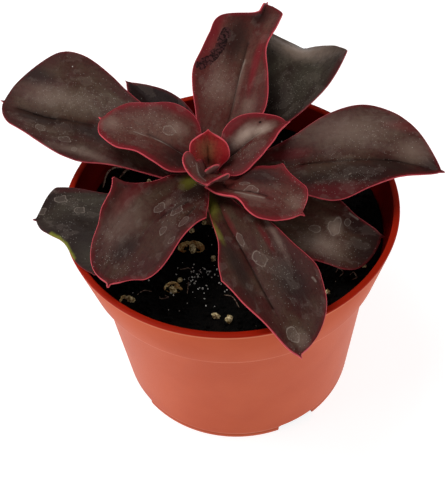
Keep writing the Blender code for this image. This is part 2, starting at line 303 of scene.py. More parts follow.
# %% The pot's section
LIP_WIDTH = 2.2
LIP_ROUND = 0.5
BAND_DEPTH = 20.9
BAND_FOOT_RADIUS = 52.4
BAND_ROUND = 0.6
BODY_TOP_RADIUS = 49.2
BODY_ROUND = 0.4
FOOT_RADIUS = 43.3
FOOT_ROUND = 0.8
CREASE_HEIGHT = 2.7
CREASE_DEPTH = 0.16
CREASE = ((0.7, 0), (0.3, 0.5), (0, 1), (-0.3, 0.5), (-0.7, 0))
CUT_RING = 4.4
WALL = 1.6
FLOOR = 1.8
POT_STEPS = 200
BAND_FOOT = RIM_HEIGHT - BAND_DEPTH
STEP = BAND_FOOT + WALL


def arc(x, height, radius, start, end, count=5):
    """Points of a rounded corner in the section, angles in degrees."""
    angles = [radians(start + (end - start) * i / (count - 1)) for i in range(count)]
    return [(x + radius * cos(a), height + radius * sin(a)) for a in angles]


def outer_radius(height):
    """The body's outer radius at a height under the band."""
    return float(np.interp(height, [0, BAND_FOOT], [FOOT_RADIUS, BODY_TOP_RADIUS]))


def wall_radius(height):
    """The pot's inner radius at a height over the floor."""
    if height > STEP:
        ends = (BAND_FOOT_RADIUS - WALL, RIM_RADIUS - LIP_WIDTH)
        return float(np.interp(height, [BAND_FOOT, RIM_HEIGHT], ends))
    return outer_radius(height) - WALL


def pot_section():
    crease = [(outer_radius(CREASE_HEIGHT + up) - CREASE_DEPTH * sink, CREASE_HEIGHT + up)
              for up, sink in CREASE]
    return [
        (0, FLOOR),
        (wall_radius(FLOOR) - FOOT_ROUND, FLOOR),
        (wall_radius(FLOOR + FOOT_ROUND), FLOOR + FOOT_ROUND),
        (wall_radius(CUT_RING), CUT_RING),
        (wall_radius(STEP), STEP),
        (wall_radius(STEP + 0.3), STEP + 0.3),
        *arc(RIM_RADIUS - LIP_WIDTH + LIP_ROUND, RIM_HEIGHT - LIP_ROUND, LIP_ROUND, 180, 90),
        *arc(RIM_RADIUS - LIP_ROUND, RIM_HEIGHT - LIP_ROUND, LIP_ROUND, 90, 0),
        *arc(BAND_FOOT_RADIUS - BAND_ROUND, BAND_FOOT + BAND_ROUND, BAND_ROUND, 0, -90),
        *arc(BODY_TOP_RADIUS + BODY_ROUND, BAND_FOOT - BODY_ROUND, BODY_ROUND, 90, 180, 3),
        (outer_radius(CUT_RING), CUT_RING),
        *crease,
        *arc(FOOT_RADIUS - FOOT_ROUND, FOOT_ROUND, FOOT_ROUND, 0, -90),
        (0, 0),
    ]


print(f"the pot's section has {len(pot_section())} points")

# %% Spin the pot and cut its slots
SLOTS = 4
FIRST_SLOT = 28
SLOT_WIDTH = 15.0
SLOT_HEIGHT = 3.6
SLOT_DEPTH = 8.0
SLOT_ROUND = 1.2
SHARP_ANGLE = 40


def pot_shell():
    """A closed shell: the section turned once round the upright axis."""
    work = bmesh.new()
    line = [work.verts.new((x * MM, 0, z * MM)) for x, z in pot_section()]
    edges = [work.edges.new(pair) for pair in zip(line, line[1:])]
    bmesh.ops.spin(work, geom=line + edges, cent=(0, 0, 0), axis=(0, 0, 1), dvec=(0, 0, 0),
                   angle=2 * pi, steps=POT_STEPS, use_merge=True, use_duplicate=False)
    bmesh.ops.remove_doubles(work, verts=work.verts, dist=0.001 * MM)
    bmesh.ops.recalc_face_normals(work, faces=work.faces)
    return work


def slot_cutter(number):
    """A rounded box through the corner of the wall and the floor."""
    angle = radians(FIRST_SLOT + number * 360 / SLOTS)
    work = bmesh.new()
    bmesh.ops.create_cube(work, size=1)
    size = (2 * SLOT_DEPTH * MM, SLOT_WIDTH * MM, 2 * SLOT_HEIGHT * MM)
    bmesh.ops.scale(work, vec=size, verts=work.verts)
    level = [e for e in work.edges if abs(e.verts[0].co.y - e.verts[1].co.y) < 1e-6]
    ends = [e for e in level if all(v.co.z > 0 for v in e.verts)]
    bmesh.ops.bevel(work, geom=ends, offset=SLOT_ROUND * MM, offset_type="OFFSET", segments=4, profile=0.5,
                    affect="EDGES", material=-1)
    bmesh.ops.rotate(work, cent=(0, 0, 0), matrix=Matrix.Rotation(angle, 3, "Z"), verts=work.verts)
    away = (FOOT_RADIUS * MM * cos(angle), FOOT_RADIUS * MM * sin(angle), 0)
    bmesh.ops.translate(work, vec=away, verts=work.verts)
    return add_piece(f"slot_{number + 1}", work)


def add_pot(finish):
    made = add_piece("nursery_pot", pot_shell(), finish)
    cutters = [slot_cutter(number) for number in range(SLOTS)]
    for cutter in cutters:
        cut = made.modifiers.new(cutter.name, "BOOLEAN")
        cut.operation = "DIFFERENCE"
        cut.object = cutter
    settle(made)
    for cutter in cutters:
        bpy.data.objects.remove(cutter, do_unlink=True)
    made.data.set_sharp_from_angle(angle=radians(SHARP_ANGLE))
    return made


print(f"a pot has {SLOTS} slots, {SLOT_WIDTH} mm wide")

# %% [markdown]
# ## The pot's plastic
#
# The plastic is satin: its sides mirror the white surroundings and turn pink, and it is orange red
# where it looks up. The life of it is in what moulding and use leave: clouds of pigment, a fine grain,
# scuffs and a few specks of dirt. Light and shade are painted on too: pale highlight lines along the
# lip, the band's foot and the crease, and painted shade in dark lines under the band and in the
# crease, on the top of the lip and on the inner wall.

# %% Pot finish
POT_COLOUR = colour(185, 84, 52)
POT_DEEP = colour(178, 77, 46)
# The inner wall is darkened as painted shade.
POT_INSIDE_SHADE = colour(96, 10, 5)
POT_SHADE = colour(120, 36, 16)
# The top of the lip is darkened as painted shade.
POT_LIP_SHADE = colour(150, 32, 12)
# Pale scuffs and specks, and also the colour of the painted highlight lines along the edges.
POT_SCUFF_AND_HIGHLIGHT = colour(208, 130, 104)
DIRT = colour(60, 30, 20)
LIP_TOP = 0.7
# Painted highlights: pale lines along the lip, the band's foot and the crease, as heights and half widths.
HIGHLIGHT_EDGES = {RIM_HEIGHT - 1.1: 0.5, BAND_FOOT + 0.45: 0.4, CREASE_HEIGHT + 0.7: 0.35}
SHADED_EDGES = {BAND_FOOT - 0.5: 0.6, CREASE_HEIGHT: 0.4}


def inner_wall_shade_share(x, y, height):
    """1 on the inner face of the wall, which is darkened as painted shade, and 0 on the outer one: the middle
    of the wall parts them.
    """
    foot, low = wall_radius(0), wall_radius(STEP + 0.1)
    body = foot + WALL / 2 + height * ((wall_radius(STEP) - foot) / STEP)
    band = low + WALL / 2 + (height - STEP) * ((wall_radius(RIM_HEIGHT) - low) / (RIM_HEIGHT - STEP))
    middle = body + (band - body) * height.rise(STEP - 0.2, STEP + 0.2)
    return 1 - (x * x + y * y - middle * middle).rise(-20, 20)


def at_heights(height, heights):
    """1 at each of a few heights, fading to 0 over its half width."""
    share = 0.0
    for middle, reach in heights.items():
        share = (1 - abs(height - middle).rise(0.3 * reach, reach)).at_least(share)
    return share


def pot_finish():
    finish = Finish("pot plastic", specular_ior_level=0.06)
    place = finish.place()
    x, y, height = finish.parts(place)
    clouds = finish.noise(place, 22, detail=3)
    grain = finish.noise(place, 0.5, detail=2)
    scratches = finish.noise(finish.scaled(place, (1, 1, 7)), 5, detail=4, rough=0.7)
    scuffed = scratches.rise(0.62, 0.75) * 0.25
    finish.set(base_color=finish.mix(
        POT_DEEP,
        (clouds.rise(0.3, 0.7), POT_COLOUR),
        (at_heights(height, SHADED_EDGES) * 0.55, POT_SHADE),
        # painted highlight lines along the edges
        (at_heights(height, HIGHLIGHT_EDGES) * clouds.rise(0.1, 0.6) * 0.6, POT_SCUFF_AND_HIGHLIGHT),
        (scuffed, POT_SCUFF_AND_HIGHLIGHT),
        (finish.specks(place, 5, 0.12, 0.3) * 0.6, POT_SCUFF_AND_HIGHLIGHT),
        # painted shade on the inner wall
        (inner_wall_shade_share(x, y, height), POT_INSIDE_SHADE),
        # painted shade on the top of the lip
        (height.rise(RIM_HEIGHT - LIP_TOP, RIM_HEIGHT - LIP_TOP / 2), POT_LIP_SHADE),
        (finish.specks(place, 9, 0.12, 0.4), DIRT)), roughness=0.38 + grain * 0.1 + scuffed * 0.6)
    finish.relief(grain * 0.6 + clouds * 2.0, 0.05)
    return finish


pot = add_pot(pot_finish())
print(f"the pot has {len(pot.data.polygons)} faces")

# %% [markdown]
# ## The peat
#
# Moist peat, nearly black, fills the pot to 12 mm under its rim. Soft lumps give it an uneven level,
# and a finer field of noise crumbles it. It is a fine grid cut to a disc, with a skirt that follows
# the wall down.

# %% Soil level
CLEARANCE = 0.3
CHORD = 0.2
SOIL_TOP = RIM_HEIGHT - 12.0
SOIL_EDGE = wall_radius(SOIL_TOP) - CLEARANCE - CHORD
SOIL_GRID = 0.62
LUMP_COUNT = 46
LUMP_REACH = 48.0
LUMP_SPREAD = (2.2, 4.5)
LUMP_HEIGHT = (0.8, 2.2)
EDGE_FADE = 3.0
NOISE_SEED = 3
LUMP_SEED = 7


def anywhere(draw, reach):
    """An even random place on a disc."""
    angle = draw.uniform(0, 2 * pi)
    out = reach * sqrt(draw.random())
    return out * cos(angle), out * sin(angle)


def lumps_of(draw):
    """Where the peat's lumps are (x, y), how far each spreads and how high it stands, in mm."""
    return [(*anywhere(draw, LUMP_REACH), draw.uniform(*LUMP_SPREAD), draw.uniform(*LUMP_HEIGHT))
            for _ in range(LUMP_COUNT)]


noise.seed_set(NOISE_SEED)
LUMPS = lumps_of(random.Random(LUMP_SEED))


def soil_level(x, y):
    """The height of the peat's broad surface at a place, in mm."""
    slope = 0.8 * sin(0.07 * x + 1.2) * cos(0.06 * y)
    lumps = sum(h * exp(-((x - a) ** 2 + (y - b) ** 2) / (r * r)) for a, b, r, h in LUMPS)
    fade = min(1.0, (SOIL_EDGE - hypot(x, y)) / EDGE_FADE + 0.25)
    return SOIL_TOP + fade * (slope + lumps)


def on_peat(x, y, above=0.0):
    """A place on the peat's surface, which ridged noise in two sizes crumbles."""
    coarse = 1 - 2 * abs(noise.noise(Vector((x / 2.6, y / 2.6, 3.1))))
    fine = noise.noise(Vector((x / 0.9, y / 0.9, 8.7)))
    return x, y, soil_level(x, y) + 0.55 * (coarse - 0.4) + 0.35 * fine + above


print(f"the peat has {len(LUMPS)} lumps")

# %% Make the peat
SOIL_FOOT = FLOOR + CLEARANCE
LEDGE = STEP + CLEARANCE
SKIRT = ((wall_radius(LEDGE), LEDGE), (BODY_TOP_RADIUS - WALL, LEDGE), (wall_radius(SOIL_FOOT), SOIL_FOOT))


def extruded(work, edges):
    """Extrudes a ring of edges, and gives the points and the edges of the next ring."""
    out = bmesh.ops.extrude_edge_only(work, edges=edges)["geom"]
    points = [part for part in out if isinstance(part, bmesh.types.BMVert)]
    return points, [part for part in out if isinstance(part, bmesh.types.BMEdge)]


def peat_body():
    work = bmesh.new()
    steps = int(2 * SOIL_EDGE / SOIL_GRID)
    bmesh.ops.create_grid(work, x_segments=steps, y_segments=steps, size=SOIL_EDGE * MM)
    outside = [v for v in work.verts if hypot(v.co.x, v.co.y) > SOIL_EDGE * MM]
    bmesh.ops.delete(work, geom=outside, context="VERTS")
    for vert in work.verts:
        if vert.is_boundary:
            spread = SOIL_EDGE * MM / hypot(vert.co.x, vert.co.y)
            vert.co.x *= spread
            vert.co.y *= spread
        vert.co.z = on_peat(vert.co.x / MM, vert.co.y / MM)[2] * MM
    rim = [e for e in work.edges if e.is_boundary]
    for radius, height in SKIRT:
        ring, rim = extruded(work, rim)
        for vert in ring:
            shrink = (radius - CLEARANCE - CHORD) * MM / hypot(vert.co.x, vert.co.y)
            vert.co = (vert.co.x * shrink, vert.co.y * shrink, height * MM)
    bmesh.ops.contextual_create(work, geom=rim)
    bmesh.ops.recalc_face_normals(work, faces=work.faces)
    return work


print("the peat's body can be made")

# %% Peat finish
PEAT_BLACK = colour(3, 3, 3)
PEAT_BROWN = colour(30, 24, 19)
GRIT = colour(150, 140, 122)


def peat_finish(name="peat", lift=1.0):
    finish = Finish(name, specular_ior_level=0.1)
    place = finish.place()
    fine = finish.noise(place, 0.7, detail=4, rough=0.7)
    patches = finish.noise(place, 9, detail=2)
    tone = (fine.rise(0.45, 0.75) * 0.7 + patches.rise(0.4, 0.8) * 0.3) * lift
    grit = finish.specks(place, 1.5, 0.07, 0.22)
    finish.set(base_color=finish.mix(PEAT_BLACK, (tone.at_most(1.0), PEAT_BROWN), (grit * 0.8, GRIT)),
               roughness=0.95 - fine * 0.25)
    finish.relief(fine, 0.5)
    return finish


peat = add_piece("peat", peat_body(), peat_finish())
print(f"the peat has {len(peat.data.polygons)} faces")

# %% [markdown]
# ## The stem
#
# The leaves sit close round a short stem, which shows only in the gaps between them. It is a row of
# rings joined into a tube, slightly ridged where old leaves were, and its foot is buried.

# %% Stem
STEM = [(-5, 2, -23), (-5, 1.8, -16), (-5.2, 1.4, -8), (-5.6, 0.8, 0), (-6, 0.2, 8), (-6.3, -0.3, 13),
        (-6.5, -0.5, 17.5)]
STEM_RADII = [4.4, 4.6, 4.6, 4.4, 4.2, 3.8, 3.2]
STEM_SIDES = 40
STEM_RINGS = 70
SCAR_SPACING = 2.6
SCAR_HEIGHT = 0.22


def tube(work, sides, steps, place):
    """A closed tube of rings: place(t, turn) tells where each of its points is, in mm."""
    ring = bmesh.ops.create_circle(work, segments=sides, radius=MM, cap_ends=True)["verts"]
    edges = list({edge for vert in ring for edge in vert.link_edges})
    for step in range(steps + 1):
        for number, vert in enumerate(ring):
            vert.co = place(step / steps, 2 * pi * number / sides) * MM
        if step < steps:
            ring, edges = extruded(work, edges)
    bmesh.ops.contextual_create(work, geom=edges)
    bmesh.ops.recalc_face_normals(work, faces=work.faces)


def stem_at(height):
    """The stem's middle and radius at a height above the rim."""
    heights = [z for _, _, z in STEM]
    x, y = (float(np.interp(height, heights, [p[axis] for p in STEM])) for axis in (0, 1))
    return Vector((x, y, height)), float(np.interp(height, heights, STEM_RADII))


def stem_point(t, turn):
    height = STEM[0][2] + (STEM[-1][2] - STEM[0][2]) * t
    middle, radius = stem_at(height)
    wave = cos(2 * pi * height / SCAR_SPACING + 2 * turn)
    rough = noise.noise(Vector((3 * cos(turn), 3 * sin(turn), height / 2)))
    reach = radius + SCAR_HEIGHT * max(wave, 0) + 0.2 * rough
    return middle + Vector((reach * cos(turn), reach * sin(turn), RIM_HEIGHT))


def stem_finish():
    finish = Finish("stem", roughness=0.55)
    place = finish.place()
    height = finish.parts(place)[2]
    clouds = finish.noise(place, 2.5, detail=3)
    finish.set(base_color=finish.mix(
        colour(86, 66, 44),
        ((height + clouds * 9).rise(RIM_HEIGHT + 2, RIM_HEIGHT + 12), colour(106, 118, 48)),
        (height.rise(RIM_HEIGHT + 14, RIM_HEIGHT + 16), colour(96, 34, 32)),
        (clouds.rise(0.5, 0.8) * 0.6, colour(120, 60, 50))))
    finish.relief(clouds, 0.3)
    return finish


stem_body = bmesh.new()
tube(stem_body, STEM_SIDES, STEM_RINGS, stem_point)
stem = add_piece("leafy_stem", stem_body, stem_finish())
print(f"the stem has {len(stem.data.polygons)} faces")

# %% [markdown]
# ## A leaf's form
#
# An echeveria leaf is a thick spoon: a narrow foot, a broad blade, a small point, and margins that
# turn up. Here a leaf is a midrib, the way its upper face looks, and the half widths and lifts of its
# two margins, read at even steps from foot to tip.

# %% Curves through a few numbers
def smooth(values, t):
    """A Catmull-Rom curve through evenly spaced numbers or points, t from 0 to 1."""
    last = len(values) - 1
    place = min(max(t, 0.0), 1.0) * last
    i = min(int(place), last - 1)
    f = place - i
    b, c = values[i], values[i + 1]
    a = values[i - 1] if i > 0 else 2 * b - c
    d = values[i + 2] if i + 2 <= last else 2 * c - b
    bend = 2 * a - 5 * b + 4 * c - d
    return 0.5 * (2 * b + (c - a) * f + bend * f**2 + (3 * b - a - 3 * c + d) * f**3)


# %% Blade
SEAT_GAP = 0.7
POINT_WIDTH = 0.9
CUP_POWER = 1.6
SAMPLES = 60
FACES = [(0, -0.2, 1), (0, -0.3, 1)]
ROUND = (2, 0.55)
HOLLOW = (1, 1.8)
Edge = namedtuple("Edge", "widths lifts rounding end corners", defaults=([1, 2, 2, 2], 0.75, ROUND, []))


class Blade:
    """A leaf's middle surface. Inside, lengths are mm and heights are above the rim.

    It grows from the stem at an angle and a height, along a route. Its left and right edges each have
    half widths, lifts and a place past which they close in on the tip, round or hollow as their end
    says. A corner is where an edge comes to a sharp point: u, how far out, how far up, how wide.
    """

    def __init__(self, grows, route, left, right, faces=FACES, seat=SEAT_GAP, point=1.5):
        side, height = radians(grows[0]), grows[1]
        middle, radius = stem_at(height)
        base = middle + (radius + seat) * Vector((cos(side), sin(side), 0))
        self.route = [base, *(Vector(spot) for spot in route)]
        self.faces = [Vector(face) for face in faces]
        self.edges = (right, left)
        self.steps = [step / (SAMPLES - 1) for step in range(SAMPLES)]
        spots = [smooth(self.route, t) for t in self.steps]
        gaps = [(b - a).length for a, b in zip(spots, spots[1:])]
        self.runs = [sum(gaps[:count]) for count in range(SAMPLES)]
        self.length = self.runs[-1]
        self.body = 1 - point / self.length

    def frame(self, u):
        """The midrib's point, the direction to the left and the way the upper face looks."""
        t = float(np.interp(u * self.length, self.runs, self.steps))
        forward = smooth(self.route, min(t + 0.001, 1)) - smooth(self.route, max(t - 0.001, 0))
        forward.normalize()
        face = smooth(self.faces, u)
        face = (face - forward * face.dot(forward)).normalized()
        into = forward * min(u, 0) * self.length
        return smooth(self.route, t) + into, face.cross(forward), face

    def margin(self, u, side):
        """The half width and the lift of one margin, 0 the right one and 1 the left."""
        edge = self.edges[side]
        within = min(max(u, 0) / self.body, 1.0)
        past = max(0.0, (within - edge.rounding) / (1 - edge.rounding))
        closing = max(1 - past ** edge.end[0], 0.0) ** edge.end[1]
        width = smooth(edge.widths, within) * closing
        lift = smooth(edge.lifts, within) * closing
        for place, out, up, spread in edge.corners:
            share = exp(-abs(u - place) * self.length / spread)
            width += out * share
            lift += up * share
        if u > self.body * 0.9:
            width = max(width, POINT_WIDTH * min(1.0, (1 - u) / (1 - self.body * 0.985)))
        return width, lift

    def spot(self, u, v):
        """Where a mark at u from foot to tip and v across is: mm along and across the leaf."""
        return u * self.length, v * self.margin(u, int(v > 0))[0]


print("a blade can be read at any place")

# %% The fifteen leaves
LEAVES = {
    "left_long": Blade(
        (158, 9.5), [(-29, 15, 13), (-45, 25, 15), (-63, 29, 18), (-78.5, 36, 19)],
        Edge([4, 8, 11.3, 15, 14.5, 9, 6.5], [1, 2, 2, 2, 2], 0.9),
        Edge([4, 9, 12, 15.5, 23.5, 23, 19], [1, 2, 2, 2, 1], 0.8),
        faces=[(0, -0.2, 1), (0, -0.4, 1), (0, -0.5, 1)]),
    "right_long": Blade(
        (3, 9.5), [(17, 1, 13), (33, 1, 15), (53, 0, 15), (70.5, -4, 12)],
        Edge([4, 6, 10, 17, 19.5, 14.2, 6.5], [1, 2, 2, 2, 2]),
        Edge([3, 5.5, 11.5, 15.5, 11, 6, 3.7], [1, 2, 2, 2, 1]), faces=[(0, -0.2, 1), (0, -0.4, 1)]),
    "left_upper": Blade(
        (150, 16.5), [(-21, 7, 20.5), (-31, 13, 22), (-43, 21, 22)],
        Edge([4, 8.5, 8.5, 8, 9.5, 8, 5], rounding=0.86),
        Edge([4, 12.5, 15, 14.5, 11, 9, 7], [1, 3, 3, 1], 0.82), faces=[(0.2, -0.2, 1), (0.2, -0.3, 1)]),
    "back_tall": Blade(
        (78, 13), [(1.5, 24, 17), (6, 42, 21), (11, 59, 24.5), (17.5, 75, 26)],
        Edge([4, 7.3, 10.3, 13, 15.2, 16.5, 15.5, 14.5, 13, 1.8, 0.5], [1, 2, 2, 2, 2], 0.96),
        Edge([4, 8, 11.5, 10, 6.8, 7.5, 7], [1, 2, 4, 5, 5, 4, 2], 0.95),
        faces=[(0, -0.3, 1), (0, -0.5, 1), (0.2, -0.5, 1)]),
    "back_right": Blade(
        (58, 5.5), [(9, 24, 10), (20, 40, 14), (28, 55, 16), (31, 66, 11)],
        Edge([4, 6, 9, 12, 14, 16, 17.5], [1, 2, 3, 5, 6], 0.9, HOLLOW),
        Edge([4, 6, 8.5, 12.5, 16, 16.8, 15], [1, 3, 4, 6, 7], 0.85, HOLLOW, [(0.86, 0, 1.5, 4)]),
        faces=[(0, -0.2, 1), (0, -0.2, 1), (0.2, 0.3, 1)]),
    "front_long": Blade(
        (282, 9), [(-2, -20, 11.5), (3.5, -35, 12), (10, -52, 9), (18.5, -68.5, 3)],
        Edge([3, 6.5, 11.5, 14.5, 18, 16, 14], [0.5, 1, 2, 2, 2], 0.8),
        Edge([4, 4, 5.2, 9.2, 7.8, 4.2, 3.5], [0.5, 0.5, 1.5, 2, 1], 0.8, ROUND, [(0.55, 1.2, 0, 3)])),
    "front_left": Blade(
        (222, 13), [(-21, -16, 14), (-30, -27, 12), (-37, -34.5, 9), (-39.5, -40, 6)],
        Edge([4, 9.5, 11, 11.5, 12.5, 13, 12], rounding=0.68, corners=[(0.25, 2.4, 1, 3)]),
        Edge([4, 7.5, 9.5, 12, 14.5, 15, 12.7, 10.5, 8], [1, 2, 2, 3.5, 5.5, 4, 2, 1, 1], 0.8, ROUND,
             [(0.44, 3.5, 4.5, 2)])),
    "left_old": Blade(
        (196, 1.5), [(-30, -10.5, 5), (-44, -10, 4.5), (-56.5, -8, 3.5), (-66.5, -6, 2)],
        Edge([4, 6.5, 9, 12, 16, 19.5, 20.5, 16.5, 8.8, 5.5, 2.5], [1, 1, 0.5, -2, -1.5, -1], 0.95),
        Edge([4, 5.5, 7, 9, 11.2, 13.2, 14], [1, 1, 1, 0], 0.93), faces=[(0, -0.1, 1), (0, -0.1, 1)]),
    "right_low": Blade(
        (335, 1.5), [(16, -12, 2.5), (32, -15.5, 1), (42, -17, -1.5), (50.3, -17.2, -2.9)],
        Edge([4, 7, 9.5, 11.5, 11, 5.4, 2.4], rounding=0.85),
        Edge([4, 8, 11, 13, 14, 14, 7.5], [1, 2, 2, 1], 0.85)),
    "back_left_low": Blade(
        (108, 1.5), [(-17.5, 28, 3), (-24, 41, 4), (-30.5, 50.5, 5.5), (-37, 59, 6)],
        Edge([4, 7, 8, 9, 8, 6, 3]), Edge([4, 7, 9, 9.8, 9.2, 5.8, 2], [1, 2, 2, 1])),
    "right_upper": Blade(
        (25, 16.5), [(2.5, 2.5, 19.5), (9, 6, 23), (15, 9, 24), (21, 12, 23.5)],
        Edge([4, 7, 8.7, 9, 7.2, 4.3, 3]), Edge([5, 8.5, 8, 7.5, 6, 3.2, 2], [1, 2, 2, 1])),
    "right_front": Blade(
        (308, 13), [(0.5, -10.5, 15.5), (8, -14, 17.5), (15.5, -18.5, 17.5), (23, -23.5, 16)],
        Edge([4, 6, 8, 9.5, 10.5, 10.8, 10, 9, 8.5], [0.5, 0.5, 1, 1], 0.88, ROUND, [(0.585, 2.2, 1, 1.8)]),
        Edge([5.5, 4.8, 3.5, 7.5, 9.5, 8, 5], [1, 2, 2, 1], 0.8), faces=[(0, -0.1, 1), (0, -0.2, 1)]),
    "heart_front": Blade(
        (258, 16.8), [(-8, -8, 18.5), (-7, -12.5, 20.5)],
        Edge([5, 8, 7.5, 4], [0, 1.5, 1.5]), Edge([4, 5.8, 6.2, 4], [5, 9, 7, 1]),
        faces=[(0, 0, 1), (0, 0.3, 1)], point=0.8),
    "heart_folded": Blade(
        (255, 17.4), [(-5.2, -2.6, 18.4), (-3.2, -2, 19.4)],
        Edge([1, 1.3, 1], [0.3, 0.3]), Edge([1, 1.3, 1], [0.3, 0.3]),
        faces=[(-0.3, 0.9, 0.3), (-0.3, 0.9, 0.3)], seat=-0.6, point=0.6),
    "heart_cup": Blade(
        (90, 17.5), [(-6.5, 2, 22), (-6.3, 3.5, 25), (-6, 5, 28.5)],
        Edge([2.5, 5.2, 5.8, 5.5, 3.2], [2, 3.5, 3.5, 2]), Edge([4, 6.6, 7, 6, 3.4], [2, 3.5, 3.5, 2]),
        faces=[(0, -0.8, 0.6), (0, -1, 0.4)], seat=-2.7, point=0.8),
}
print(f"{len(LEAVES)} leaves, the longest {max(leaf.length for leaf in LEAVES.values()):.0f} mm")
